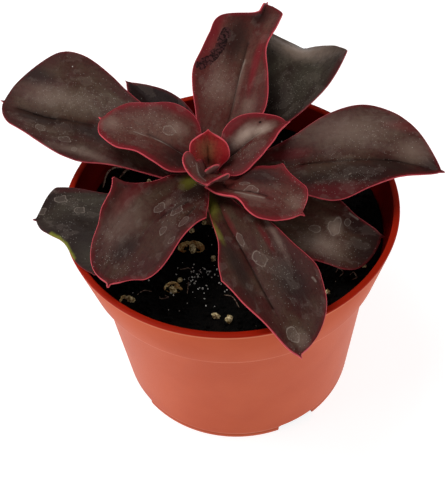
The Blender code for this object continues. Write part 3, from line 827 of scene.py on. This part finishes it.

# %% [markdown]
# ## Each leaf's marks, painted shade and painted sheen
#
# Each leaf has its own share of olive grey and of red flush, and its own marks. They are written as
# places: u from foot to tip, and v across, from -1 at the right margin to 1 at the left one. A
# spot is (u, v, half length, half width), with sizes in mm, and a line is a row of places. Drops are
# films where water dried.

# %% Marks, painted shade and painted sheen on the leaves
PLAIN = dict(palette="leaf", olive=0.5, flush=0.5, rim=1.0, dust=0.5, sheen=0.22, fresh=0.55, dark=0.0)
# Dim zones and folds are painted shade where a leaf turns from the light or creases, and pale zones are a
# painted sheen.
LOOKS = {
    "left_long": dict(
        olive=0.7, flush=0.3, rim=0.6, sheen=0.26,
        drops=[(0.77, 0.55, 1.4, 1.0), (0.66, 0.58, 1.8, 1.0), (0.6, 0.75, 1.2, 0.7)],
        pale=[(0.74, -0.28, 13, 4), (0.55, 0.75, 16, 1.5)],
        folds=[[(0.9, 0.1), (0.78, 0.12), (0.55, 0.03)]], creases=[[(0.82, 0.16), (0.72, 0.12)]],
        dim=[(0.78, 0.22, 9, 2.2), (0.5, 0.2, 13, 2.5), (0.9, -0.75, 8, 3)],
        dusty=[(0.7, 0.5, 8, 2.5), (0.6, -0.4, 12, 5)]),
    "right_long": dict(
        rim=0.7, sheen=0.3, red=[(0.82, 0.95, 7, 2), (0.3, 0.45, 8, 2), (0.47, -0.8, 14, 4)],
        pale=[(0.57, 0.55, 15, 6), (0.84, 0.4, 6, 4)], folds=[[(0.35, 0.0), (0.9, -0.05)]],
        dim=[(0.42, -0.6, 12, 5), (0.62, -0.45, 12, 4), (0.95, 0.1, 5, 3), (0.75, -0.3, 8, 3)],
        dusty=[(0.5, 0.03, 16, 1.5), (0.55, -0.5, 9, 4), (0.7, 0.4, 8, 4)],
        scratches=[[(0.56, -0.42), (0.57, -0.4)]]),
    "left_upper": dict(
        palette="red", flush=0.9, dust=0.4, sheen=0.32, drops=[(0.36, -0.36, 2.0, 1.6)],
        red=[(0.5, -1, 14, 2.5)], scratches=[[(0.13, 0), (0.38, -0.05), (0.63, 0.03)]],
        folds=[[(0.05, -0.05), (0.5, -0.1)]], pale=[(0.3, -0.5, 3.2, 2.2), (0.85, 0.15, 4, 3)],
        dim=[(0.1, 0.3, 7, 4)], dusty=[(0.7, 0.2, 6, 4), (0.5, -0.5, 5, 3)]),
    "back_tall": dict(
        palette="red", flush=0.55, dust=0.3, scratches=[[(0.1, -0.02), (0.44, -0.02), (0.6, -0.12)]],
        scabs=[[(0.51, 0.86), (0.56, 0.7), (0.63, 0.62), (0.72, 0.62)]],
        dots=[(0.59, -0.05, 0.35)], red=[(0.7, 0.95, 12, 3.2), (0.58, -0.6, 13, 1.3)],
        dim=[(0.7, 0.35, 9, 4), (0.88, 0.1, 5, 3)], folds=[[(0.2, 0.0), (0.7, 0.0)]],
        pale=[(0.33, -0.5, 4, 2.2), (0.42, 0.4, 8, 5), (0.45, -0.08, 10, 0.8)],
        dusty=[(0.45, 0.4, 8, 5)]),
    "back_right": dict(
        palette="cool", olive=0.8, flush=0.3, rim=0.35, dust=0.4, sheen=0.6, red=[(0.72, -0.98, 9, 1.6)],
        pale=[(0.86, 0.1, 5, 13)], dim=[(0.45, 0, 11, 9)],
        dots=[(0.76, 0.6, 0.35), (0.86, 0.7, 0.35), (0.88, 0.28, 0.45), (0.64, -0.47, 0.3),
              (0.82, 0.5, 0.3), (0.9, -0.4, 0.3), (0.7, 0.66, 0.25), (0.85, -0.5, 0.2)],
        dusty=[(0.6, -0.3, 8, 6)]),
    "front_long": dict(
        flush=0.35, rim=0.8, dim=[(0.68, 0.5, 8, 4), (0.5, -0.4, 10, 2)],
        drops=[(0.51, 0.25, 2.4, 1.9), (0.37, 0.12, 2.4, 0.8), (0.89, 0.1, 2.6, 1.7)],
        pale=[(0.42, 0.85, 9, 1.0), (0.93, 0.3, 3, 2)], red=[(0.42, 0.62, 6, 0.9), (0.25, 0.1, 8, 1)],
        folds=[[(0.1, 0.0), (0.75, 0.0)]], dusty=[(0.89, 0.1, 4, 4), (0.6, 0.4, 8, 4)],
        scratches=[[(0.7, 0.85), (0.73, 0.88)]], green=[(0.1, -0.7, 8, 2.2), (0.28, -0.9, 6, 1.0)]),
    "front_left": dict(
        olive=0.4, flush=0.6, dust=0.35, pale=[(0.6, -0.45, 9, 5), (0.3, -0.1, 2.2, 1.2)],
        drops=[(0.37, -0.12, 2.2, 1.2), (0.31, 0.3, 2.6, 1.2), (0.36, 0.72, 2.2, 0.9),
               (0.49, 0.42, 1.6, 0.9), (0.52, 0.8, 1.2, 0.7)],
        folds=[[(0.42, 0.1), (0.3, 0.2), (0.2, 0.32)], [(0.3, 0.62), (0.22, 0.6)]],
        dim=[(0.72, -0.1, 5, 3), (0.12, 0.2, 5, 3)], red=[(0.4, -0.75, 9, 2)],
        dusty=[(0.25, 0.25, 6, 5), (0.85, -0.2, 5, 6)], green=[(0.05, -0.42, 5, 2.5)]),
    "left_old": dict(
        palette="cool", olive=0.9, flush=0.25, rim=0.3, dust=0.6, dots=[(0.985, 0, 1.0)], fresh=1.0,
        drops=[(0.86, -0.6, 2.2, 1.3), (0.95, -0.3, 1.1, 1.6), (0.73, -0.3, 1.8, 1.2)],
        green=[[(0.87, 0.93), (0.82, 0.96), (0.77, 0.98), (0.71, 1.0)]],
        dim=[(0.95, -0.8, 5, 4), (0.7, 0.3, 10, 8)],
        red=[(0.75, -0.95, 12, 1.2)], dusty=[(0.8, -0.4, 6, 5), (0.78, 0.5, 3, 3)]),
    "right_low": dict(
        olive=0.9, flush=0.3, rim=0.35, dust=0.6, sheen=0.45, dots=[(1, 0, 0.8)],
        drops=[(0.69, 0, 2.0, 3.2), (0.57, -0.14, 2.2, 1.5), (0.76, 0.4, 0.9, 1.2)],
        pale=[(0.69, -0.02, 2.4, 3.4), (0.62, -0.5, 7, 4)],
        dim=[(0.95, 0, 7, 7), (0.88, -0.5, 5, 6), (0.84, 0.4, 5, 3)],
        scratches=[[(0.76, 0.83), (0.82, 0.87)]], dusty=[(0.67, -0.55, 8, 6)]),
    "back_left_low": dict(olive=0.1, flush=0.4, rim=0.4, dust=0.2, dark=0.8),
    "right_upper": dict(
        palette="red", flush=0.8, dust=0.4, sheen=0.9, dots=[(0.66, 0.5, 0.45)],
        red=[(0.3, 0.85, 7, 1.6)], pale=[(0.45, 0.3, 4.4, 2.2), (0.62, 0.1, 4, 2)],
        folds=[[(0.1, 0.02), (0.6, 0.0)]], scratches=[[(0.14, 0.03), (0.32, 0.02), (0.5, 0)]],
        dim=[(0.15, 0.3, 4, 3)], dusty=[(0.35, -0.3, 5, 3)]),
    "right_front": dict(
        palette="red", olive=0.4, flush=0.7, scratches=[[(0.3, -0.4), (0.45, -0.3), (0.6, -0.15)]],
        drops=[(0.44, 0.1, 2.2, 1.1), (0.36, 0.3, 1.5, 0.7)], folds=[[(0.1, 0.0), (0.6, 0.0)]],
        pale=[(0.88, 0.3, 3, 3), (0.45, -0.3, 5, 1.2)], dim=[(0.45, 0.6, 6, 3)],
        dusty=[(0.8, 0.3, 5, 4)]),
    "heart_front": dict(
        palette="red", flush=0.6, scratches=[[(0.2, -0.7), (0.5, -0.3), (0.7, 0)]],
        dim=[(0.3, -0.1, 2, 2)], dusty=[(0.6, -0.2, 4, 4)]),
    "heart_folded": dict(palette="young", olive=0, flush=0.9, dust=0, pink=[(0.5, 0, 4, 1.2)]),
    "heart_cup": dict(
        palette="young", olive=0.9, flush=0.4, dust=0.2, red=[(0.3, -0.7, 4.5, 2.6)],
        dim=[(0.1, 0.0, 1.6, 2.4)], folds=[[(0.05, 0.0), (0.5, 0.0)]]),
}
print(f"{sum(len(look) for look in LOOKS.values())} looks are written down")

# %% Measuring marks
LINE_WIDTHS = {"scratches": 0.6, "creases": 0.6, "folds": 1.7, "scabs": 2.6, "green": 1.8}


def spot_share(along, across, a, b, half_long, half_wide):
    """1 in the middle of a spot, 0.5 on its edge, 0 a spot's width outside."""
    return max(0.0, 1 - 0.5 * hypot((along - a) / half_long, (across - b) / half_wide))


def drop_share(along, across, a, b, half_long, half_wide):
    """A dried drop, as a spot whose edge wanders in and out: 0.5 on its wavy outline."""
    x, y = (along - a) / half_long, (across - b) / half_wide
    out = hypot(x, y)
    wobble = noise.noise(Vector((1.1 * x / (out + 0.01), 1.1 * y / (out + 0.01), a)))
    return max(0.0, 1 - 0.5 * out / (1 + 0.5 * wobble))


def line_share(along, across, line, width):
    """1 on a line through a row of places, 0.5 at half its width."""
    here = Vector((along, across))
    nearest = 1e9
    for a, b in zip(line, line[1:]):
        run = b - a
        t = min(max((here - a).dot(run) / run.length_squared, 0), 1)
        nearest = min(nearest, (here - a - run * t).length)
    return max(0.0, 1 - nearest / width)


print("marks can be measured")

# %% [markdown]
# ## A leaf's surface
#
# Each leaf is a fine grid laid on its blade, crowded towards the margins and the tip, where the form
# turns fastest. Waves, folds, scabs and a groove over the midrib are moved into the mesh itself.
# Vectors stored at every point tell the finish where it is on the blade, and how much of each kind of
# mark covers it. Solidify gives the blade its body: plump along the midrib, thin at the margin.

# %% Leaf body
SPACING = 0.56
CROWD_TIP = 1.2
CROWD_MARGIN = 1.35
MIDDLE = 2.6
MARGIN = 0.6
UPPER_SHARE = -0.2
EDGE_ROUND = 0.4
EDGE_THIN = 0.25
TIP_THINNING = 0.75
FOOT_IN = 2.4
GROOVE = 0.75
GROOVE_WIDTH = 2.6
FOLD_DEPTH = 0.55
SCAB_HEIGHT = 0.7
# dim and folds carry painted shade, and pale a painted sheen; the other kinds are the leaf's own colours and
# marks.
LAYERS = {
    "marks": ("drops", "dots", "pale"),
    "zones": ("red", "green", "dusty"),
    "tones": ("dim", "folds", "pink"),
    "wear": ("scabs", "scratches", "creases"),
}


def ripple(along, across, seed):
    """The waves of a leaf's face, in mm: broad ones, small ones, and streaks along it."""
    broad = noise.noise(Vector((along / 11, across / 8, seed)))
    small = noise.noise(Vector((along / 3.1, across / 2.4, seed + 5)))
    streak = noise.noise(Vector((along / 7, across / 0.9, seed + 9)))
    return 0.42 * broad + 0.13 * small + 0.04 * streak


def placed_mark(blade, kind, mark):
    """How a mark is measured, and its places and sizes in mm."""
    if isinstance(mark, list):
        return line_share, ([Vector(blade.spot(u, v)) for u, v in mark], LINE_WIDTHS[kind])
    u, v, *sizes = mark
    sizes = sizes * 2 if len(sizes) == 1 else sizes
    return drop_share if kind == "drops" else spot_share, (*blade.spot(u, v), *sizes)


def marks_of(blade, look):
    kinds = [kind for kinds in LAYERS.values() for kind in kinds]
    return {kind: [placed_mark(blade, kind, mark) for mark in look.get(kind, [])] for kind in kinds}


def covering(placed, along, across):
    """How much of each kind of mark covers a place."""
    return {kind: max((measure(along, across, *mark) for measure, mark in marks), default=0.0)
            for kind, marks in placed.items()}


print(f"a leaf stores {len(LAYERS)} layers of marks")

# %% Make a leaf
def leaf_grid(blade, look, seed):
    """The blade as a fine sheet, with what its finish reads stored at its points."""
    widest = max(a + b for a, b in zip(*(edge.widths for edge in blade.edges)))
    rows = max(24, int(blade.length / SPACING))
    columns = 2 * max(10, int(widest / SPACING / 2 * 1.25))
    work = bmesh.new()
    bmesh.ops.create_grid(work, x_segments=rows, y_segments=columns, size=1)
    body = work.verts.layers.deform.new()
    for layer in ("blade", *LAYERS):
        work.verts.layers.float_vector.new(layer)
    where, *layers = (work.verts.layers.float_vector[layer] for layer in ("blade", *LAYERS))
    foot = -FOOT_IN / blade.length
    placed = marks_of(blade, look)
    known = {}
    tip = [vert for vert in work.verts if vert.co.x > 0.9999]
    rim = [vert for vert in work.verts if vert.is_boundary and vert.co.x > -0.9999]
    for vert in work.verts:
        s, q = (1 - vert.co.x) / 2, vert.co.y
        u = foot + (1 - foot) * (1 - s**CROWD_TIP)
        v = copysign(1 - (1 - abs(q)) ** CROWD_MARGIN, q)
        key = round(s, 5)
        if key not in known:
            known[key] = (blade.frame(u), blade.margin(u, 0), blade.margin(u, 1))
        (middle, left, face), *sides = known[key]
        width, lift = sides[int(v > 0)]
        if u < 0:
            width *= 1 - 0.5 * u / foot
        along, across = u * blade.length, v * width
        covered = covering(placed, along, across)
        for layer, kinds in zip(layers, LAYERS.values()):
            vert[layer] = [covered[kind] for kind in kinds]
        wave = ripple(along, across, seed) * min(1.0, max(u, 0) * 6) * min(1.0, (1 - abs(v)) * 4 + 0.35)
        wave -= GROOVE * exp(-abs(across) / GROOVE_WIDTH) * (1 - max(u, 0)) * min(1.0, width / 8)
        wave -= FOLD_DEPTH * covered["folds"] ** 2
        rough = noise.noise(Vector((along / 0.8, across / 0.8, seed)))
        wave += SCAB_HEIGHT * min(1.0, covered["scabs"] * 1.5) * rough
        vert.co = (middle + left * across + face * (lift * abs(v) ** CUP_POWER + wave)) * MM
        vert.co.z += RIM_HEIGHT * MM
        thick = MARGIN + (MIDDLE - MARGIN) * (1 - v**2) * (1 - TIP_THINNING * max(u, 0) ** 2)
        vert[body][0] = thick / MIDDLE
        vert[where] = (along, across, 0)
    near = kdtree.KDTree(len(rim))
    for number, vert in enumerate(rim):
        near.insert(vert.co, number)
    near.balance()
    for vert in work.verts:
        inside = near.find(vert.co)[2] / MM
        vert[where].z = inside
        roundness = sqrt(1 - (1 - min(1.0, inside / EDGE_ROUND)) ** 2)
        vert[body][0] *= EDGE_THIN + (1 - EDGE_THIN) * roundness
    bmesh.ops.pointmerge(work, verts=tip, merge_co=tip[0].co)
    return work


def add_leaf(name, look, number, under):
    grid = leaf_grid(LEAVES[name], look, 3.7 * number)
    made = add_piece(f"{name}_leaf", grid, leaf_finish(f"{name} skin", look, number), under)
    made.vertex_groups.new(name="body")
    body = made.modifiers.new("body", "SOLIDIFY")
    body.thickness = MIDDLE * MM
    body.offset = UPPER_SHARE
    body.vertex_group = "body"
    body.material_offset = 1
    return settle(made)


print("a leaf can be made")

# %% [markdown]
# ## The skin of the leaves
#
# The skin is wine red pigment over green, under a bloom of wax that greys it. So its colour starts
# from burgundy, goes to olive grey in clouds along the leaf, turns crimson towards the margin, and
# ends in a thin pink edge. Dust and marks lie on top, and marks make the soft gloss duller. Painted
# shade darkens the dim zones and the folds, and a painted sheen lightens the pale zones.

# %% Leaf finish
PINK = colour(194, 74, 82)
FILM = colour(146, 132, 122)
# The painted sheen of the pale zones.
PAINTED_SHEEN = colour(162, 140, 126)
DUST = colour(214, 206, 194)
DARK = colour(16, 10, 9)
# Random dark mottling, and the painted shade of the dim zones and the folds.
DARK_MOTTLE_AND_SHADE = colour(34, 22, 20)
GREEN = colour(112, 114, 40)
SCAB = colour(66, 38, 40)
PALETTES = {
    "leaf": (colour(62, 29, 26), colour(76, 60, 48), colour(92, 22, 28)),
    "red": (colour(82, 37, 34), colour(96, 69, 59), colour(116, 27, 37)),
    "cool": (colour(46, 34, 29), colour(65, 59, 49), colour(66, 20, 24)),
    "young": (colour(134, 36, 36), colour(132, 80, 56), colour(142, 20, 34)),
}
PATTERN_STEP = 17.0


def leaf_finish(name, look, number):
    """The upper face of a leaf, with all its marks, its painted shade and its painted sheen. No two leaves
    read the same stretch of noise.
    """
    finish = Finish(name, specular_ior_level=0.1)
    wine, grey, crimson = PALETTES[look["palette"]]
    blade = finish.attribute("blade")
    margin = finish.parts(blade)[2]
    pattern = finish.node("ShaderNodeVectorMath", {"operation": "MULTIPLY_ADD"},
                          {0: blade, 1: (1, 1, 0), 2: (PATTERN_STEP * number, 0, 0)})
    stored = [part for layer in LAYERS for part in finish.parts(finish.attribute(layer))]
    stain, dot, pale, red, green, dusty, dim, fold, pink, scab, scratch, crease = stored
    clouds = finish.noise(finish.scaled(pattern, (0.5, 1, 0)), 9, detail=3, rough=0.55, twist=0.6)
    streaks = finish.noise(finish.scaled(pattern, (0.12, 1, 0)), 1.1, detail=3, rough=0.6)
    blots = finish.noise(pattern, 2.2, detail=4, rough=0.65)
    grain = finish.noise(pattern, 0.35, detail=2)
    mottle = finish.noise(pattern, 0.9, detail=3, rough=0.7)
    uneven = (blots - 0.5) * 0.4
    olive = look["olive"]
    inner = (margin + clouds * 4).rise(2.0, 8.0)
    share = (inner * clouds.rise(0.55 - 0.45 * olive, 0.95 - 0.25 * olive)
             + (streaks - 0.5) * 0.6 + (blots - 0.5) * 0.8)
    reach = 0.3 + 2.6 * look["flush"]
    near_rim = (1 - (margin + (blots - 0.5) * 2).rise(0.3, reach)) * (0.35 + 0.5 * look["flush"])
    field = finish.noise(finish.scaled(pattern, (0.6, 1, 0)), 6, detail=5, rough=0.6) + dusty * 0.08
    film = field.rise(0.54, 0.62) * 0.07 + (1 - abs(field - 0.6).rise(0.0, 0.012)) * 0.06
    drop = stain + (mottle - 0.5) * 0.16
    outline = (1 - abs(drop - 0.5).rise(0.01, 0.07)) * blots.rise(0.25, 0.55) * 0.55
    chalk = outline.at_least(drop.rise(0.46, 0.54) * 0.12).at_least(film)
    powder = finish.specks(pattern, 0.45, 0.02 * look["dust"] + dusty * 0.4, 0.15) * 0.2
    fine = finish.specks(pattern, 1.3, 0.01 * look["dust"] + dusty * 0.08, 0.18) * 0.34
    coarse = finish.specks(pattern, 6.0, 0.1 * look["dust"] + dusty * 0.08, 0.3) * 0.55
    crust = (scab + (blots - 0.5) * 1.4).rise(0.3, 0.4)
    cracks = crust * (1 - abs(blots - 0.5).rise(0.02, 0.07))
    hole = (dot.at_least(crease) + (grain - 0.5) * 0.2).rise(0.42, 0.58)
    edge = (1 - (margin + (blots - 0.5) * 0.2).rise(0.04, 0.28)) * look["rim"]
    finish.set(base_color=finish.mix(
        wine,
        (share.at_least(0.0).at_most(1.0), grey),
        (look["dark"], DARK),
        ((0.5 - mottle).at_least(0.0) * 2.2, DARK_MOTTLE_AND_SHADE),
        # painted shade in the dim zones
        ((dim + uneven).rise(0.1, 0.85) * 0.75, DARK_MOTTLE_AND_SHADE),
        # painted shade along the folds
        (fold.rise(0.3, 1.0) * 0.55, DARK_MOTTLE_AND_SHADE),
        (near_rim.at_least((red + uneven).rise(0.25, 0.85) * 0.6), crimson),
        ((green + uneven).rise(0.3, 0.9) * look["fresh"], GREEN),
        # painted sheen in the pale zones
        ((pale + uneven).rise(0.15, 1.05) * look["sheen"], PAINTED_SHEEN),
        (chalk.at_least(scratch.rise(0.2, 0.9) * 0.5), FILM),
        (powder.at_least(fine).at_least(coarse), DUST),
        (crust * 0.75, SCAB),
        (cracks.at_least(hole) * 0.85, DARK),
        (edge.at_least(pink.rise(0.3, 0.7) * 0.85), PINK)))
    finish.set(roughness=0.44 + blots * 0.12 + chalk * 0.3 + crust * 0.3 - pale * 0.06)
    finish.relief(grain * 0.3 + streaks * 0.6 + blots * 0.9 + chalk * 0.3 - hole * 0.8, 0.24)
    return finish


def under_finish():
    """The lower face: greyer and paler than the upper one, with the same pink edge."""
    finish = Finish("leaf underside", specular_ior_level=0.25)
    blade = finish.attribute("blade")
    clouds = finish.noise(finish.scaled(blade, (0.4, 1, 0)), 6, detail=3)
    streaks = finish.noise(finish.scaled(blade, (0.1, 1, 0)), 1.2, detail=3)
    grain = finish.noise(finish.place(), 0.4, detail=2)
    finish.set(base_color=finish.mix(
        colour(92, 44, 44),
        (clouds.rise(0.35, 0.7), colour(98, 74, 66)),
        ((streaks - 0.35).at_least(0.0) * 0.5, colour(130, 72, 70)),
        (1 - finish.parts(blade)[2].rise(0.04, 0.3), PINK)), roughness=0.45 + clouds * 0.12)
    finish.relief(grain * 0.3 + streaks, 0.18)
    return finish


underside = under_finish()
leaves = [add_leaf(name, PLAIN | LOOKS[name], number, underside) for number, name in enumerate(LEAVES)]
print(f"{len(leaves)} leaves have {sum(len(leaf.data.polygons) for leaf in leaves)} faces")

# %% [markdown]
# ## What lies on the peat
#
# On the peat lie crumbs, white grit, pale grains, husks of seeds and dry fibres. Crumbs and grit are
# balls of few faces, half sunk and turned at random, made in small batches, because adding to one big
# bmesh gets slower with every ball. What catches the eye is placed one by one, and the rest is scattered.

# %% Small balls
BATCH = 100


def pour(work, whole):
    """Adds one bmesh to another."""
    mesh = bpy.data.meshes.new("poured")
    work.to_mesh(mesh)
    work.free()
    whole.from_mesh(mesh)
    bpy.data.meshes.remove(mesh)


def balls(shapes, fine=1, rough=0.12):
    """One bmesh of many rough balls, each a place and three radii in mm."""
    draw = random.Random(len(shapes))
    whole = bmesh.new()
    for start in range(0, len(shapes), BATCH):
        batch = bmesh.new()
        for place, radii in shapes[start:start + BATCH]:
            turn = Euler([draw.uniform(0, 2 * pi) for _ in range(3)]).to_matrix().to_4x4()
            size = Matrix.Diagonal((*(radius * MM for radius in radii), 1))
            spot = Matrix.Translation(Vector(place) * MM) @ turn @ size
            bmesh.ops.create_icosphere(batch, subdivisions=fine, radius=1, matrix=spot)
        pour(batch, whole)
    for vert in whole.verts:
        vert.co += noise.noise_vector(vert.co / (0.7 * MM)) * rough * MM
    return whole


print("small balls can be laid on the peat")

# %% Crumbs, grit and grains
LITTER_REACH = SOIL_EDGE - 2.0
CRUMB_COUNT = 2600
CRUMB_RADII = (0.35, 1.25)
GRIT_COUNT = 150
GRIT_HEAP = (-12.0, -24.5)
GRIT_SPREAD = 4.5
GRIT_RADII = (0.14, 0.42)
GRAINS = [(-34.4, -32.4, 1.6), (-18.2, -24.2, 1.1), (-6.6, -40.0, 1.5), (-2.6, -41.6, 1.7),
          (-6.8, -15.8, 1.3), (-13.8, -3.4, 1.4), (-9.2, -1.6, 1.2), (43.3, -22.3, 1.0), (24.5, 36.0, 1.5),
          (-29.0, 22.0, 1.3), (38.0, 17.5, 1.2), (-2.0, 43.0, 1.6), (-43.0, -3.0, 1.0), (30.0, -33.0, 1.1),
          (-13.6, -12.4, 1.7), (-20.4, -28.6, 1.6)]


def crumb_shapes(draw):
    for _ in range(CRUMB_COUNT):
        x, y = anywhere(draw, LITTER_REACH)
        radius = CRUMB_RADII[0] + (CRUMB_RADII[1] - CRUMB_RADII[0]) * draw.random() ** 2
        yield on_peat(x, y, 0.1 * radius), (radius, radius * 0.8, radius * draw.uniform(0.5, 0.8))


def grit_shapes(draw):
    """Three in five lie in a heap at the front, and the rest anywhere."""
    for number in range(GRIT_COUNT):
        x, y = anywhere(draw, LITTER_REACH)
        if number % 5 < 3:
            x, y = (draw.gauss(middle, GRIT_SPREAD) for middle in GRIT_HEAP)
        radius = draw.uniform(*GRIT_RADII)
        yield on_peat(x, y, 0.35), (radius, radius * 0.9, radius * 0.7)


def stone_finish(name, dark, light):
    finish = Finish(name, roughness=0.6, specular_ior_level=0.3)
    cloud = finish.noise(finish.place(), 0.9, detail=3)
    finish.set(base_color=finish.mix(dark, (cloud.rise(0.35, 0.65), light)))
    return finish


crumbs = add_piece("peat_crumbs", balls(list(crumb_shapes(random.Random(21)))),
                   peat_finish("peat crumbs", lift=1.2))
grit = add_piece("grit", balls(list(grit_shapes(random.Random(22))), rough=0.05),
                 stone_finish("grit", colour(186, 182, 174), colour(250, 250, 244)))
grain_shapes = [(on_peat(x, y, 0.4 * r), (1.15 * r, 0.7 * r, 0.6 * r)) for x, y, r in GRAINS]
grains = add_piece("grains", balls(grain_shapes, fine=3, rough=0.5),
                   stone_finish("grains", colour(118, 90, 42), colour(242, 222, 170)))
print(f"{CRUMB_COUNT} crumbs, {GRIT_COUNT} bits of grit and {len(GRAINS)} grains lie on the peat")

# %% Husks and fibres
HUSKS = [(-16.2, -10.6, 2.6, 20, 40), (-12.4, -11.4, 2.9, -25, 50), (-20.9, -27.2, 2.7, 10, 35),
         (-19.0, -28.4, 1.8, -30, 60), (-36.8, -31.6, 1.6, 60, 40), (28.0, 30.0, 2.6, 120, 60)]
HUSK_WALL = 0.25
FIBRES = [
    ([(-45.6, 19.1, 2.5), (-44.5, 25.3, 3.0), (-42.1, 28.2, 2.6), (-38.4, 30.5, 0.4)], 0.42),
    ([(-40.1, 25.5, 0.5), (-36.9, 28.7, 1.4), (-32.2, 29.3, 0.3)], 0.5),
    ([(-15.5, -25.2, 0.2), (-15.3, -28.0, 0.9), (-15.9, -30.6, 0.2)], 0.22),
    ([(-23.6, -30.0, 0.1), (-22.0, -31.8, 1.0), (-24.4, -32.4, 0.9), (-25.0, -30.6, 0.1)], 0.2),
    ([(-19.0, -19.0, 0.1), (-17.2, -20.2, 0.9), (-15.2, -19.6, 0.7), (-13.8, -21.0, 0.1)], 0.2),
    ([(33.4, -26.0, 0.2), (34.6, -24.6, 0.8), (35.8, -26.2, 0.8), (34.2, -27.6, 0.2)], 0.24),
    ([(38.0, -26.7, 0.2), (39.4, -25.4, 0.7), (40.2, -27.2, 0.7), (38.6, -28.2, 0.2)], 0.24),
    ([(-4.0, -31.0, 0.1), (-1.0, -33.0, 0.8), (1.0, -36.6, 0.2)], 0.16),
    ([(-32.4, -30.0, 0.1), (-30.2, -28.2, 0.7), (-27.6, -28.4, 0.1)], 0.2),
    ([(30.0, 14.0, 0.2), (34.0, 20.0, 1.4), (33.0, 27.0, 0.9), (29.0, 32.0, 0.2)], 0.3),
    ([(-12.0, 40.0, 0.2), (-4.0, 43.0, 1.1), (5.0, 41.0, 0.2)], 0.26),
]
FIBRE_SIDES = 6
FIBRE_STEPS = 24


def husk_bodies():
    """Curled shells: the lower part of a ball, scaled, given a wall, tipped and turned."""
    whole = bmesh.new()
    for x, y, radius, turn, tip in HUSKS:
        work = bmesh.new()
        bmesh.ops.create_icosphere(work, subdivisions=4, radius=1)
        opening = [vert for vert in work.verts if vert.co.z > 0.2 + 0.3 * noise.noise(vert.co * 3)]
        bmesh.ops.delete(work, geom=opening, context="VERTS")
        for vert in work.verts:
            vert.co += 0.14 * noise.noise_vector(vert.co * 2.2 + Vector((x, y, 0)))
        bmesh.ops.scale(work, vec=(radius * MM, 0.66 * radius * MM, 0.6 * radius * MM), verts=work.verts)
        bmesh.ops.solidify(work, geom=work.faces[:], thickness=HUSK_WALL * MM)
        turned = Euler((radians(tip), 0, radians(turn))).to_matrix()
        bmesh.ops.rotate(work, cent=(0, 0, 0), matrix=turned, verts=work.verts)
        bmesh.ops.translate(work, vec=Vector(on_peat(x, y, 0.3 * radius)) * MM, verts=work.verts)
        pour(work, whole)
    return whole


def fibre_point(spots, radius, t, turn):
    ahead = (smooth(spots, min(t + 0.01, 1)) - smooth(spots, max(t - 0.01, 0))).normalized()
    reach = radius * (0.35 + 0.65 * sin(pi * t) ** 0.5)
    around = Vector((reach * cos(turn), reach * sin(turn), 0))
    return smooth(spots, t) + ahead.to_track_quat("Z", "Y") @ around


def fibre_bodies():
    """Thin round strands, each swept along a curve through its places and thin at its ends."""
    work = bmesh.new()
    for places, radius in FIBRES:
        spots = [Vector(on_peat(*place)) for place in places]
        tube(work, FIBRE_SIDES, FIBRE_STEPS, lambda t, turn: fibre_point(spots, radius, t, turn))
    return work


husks = add_piece("husks", husk_bodies(), stone_finish("husk", colour(166, 98, 38), colour(250, 222, 156)))
fibres = add_piece("fibres", fibre_bodies(), stone_finish("fibre", colour(66, 40, 34), colour(150, 126, 108)))
print(f"{len(HUSKS)} husks and {len(FIBRES)} fibres lie there too")

# %% [markdown]
# ## Hand every piece to the frame
#
# Nothing moves, so every piece rides on the one body, root, and the plain pieces of the frame that
# the finer ones replace are hidden.

# %% Ride and replace
for piece, nodes, slot in ((pot, ["pot"], "pot plastic"), (peat, ["soil"], "soil"), (stem, ["stem"], "stem")):
    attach(piece, "root")
    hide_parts(*nodes)
for piece in (crumbs, grit, grains, husks, fibres):
    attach(piece, "root")
for piece, name in zip(leaves, LEAVES):
    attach(piece, "root")
    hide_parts(f"leaf_{name}")
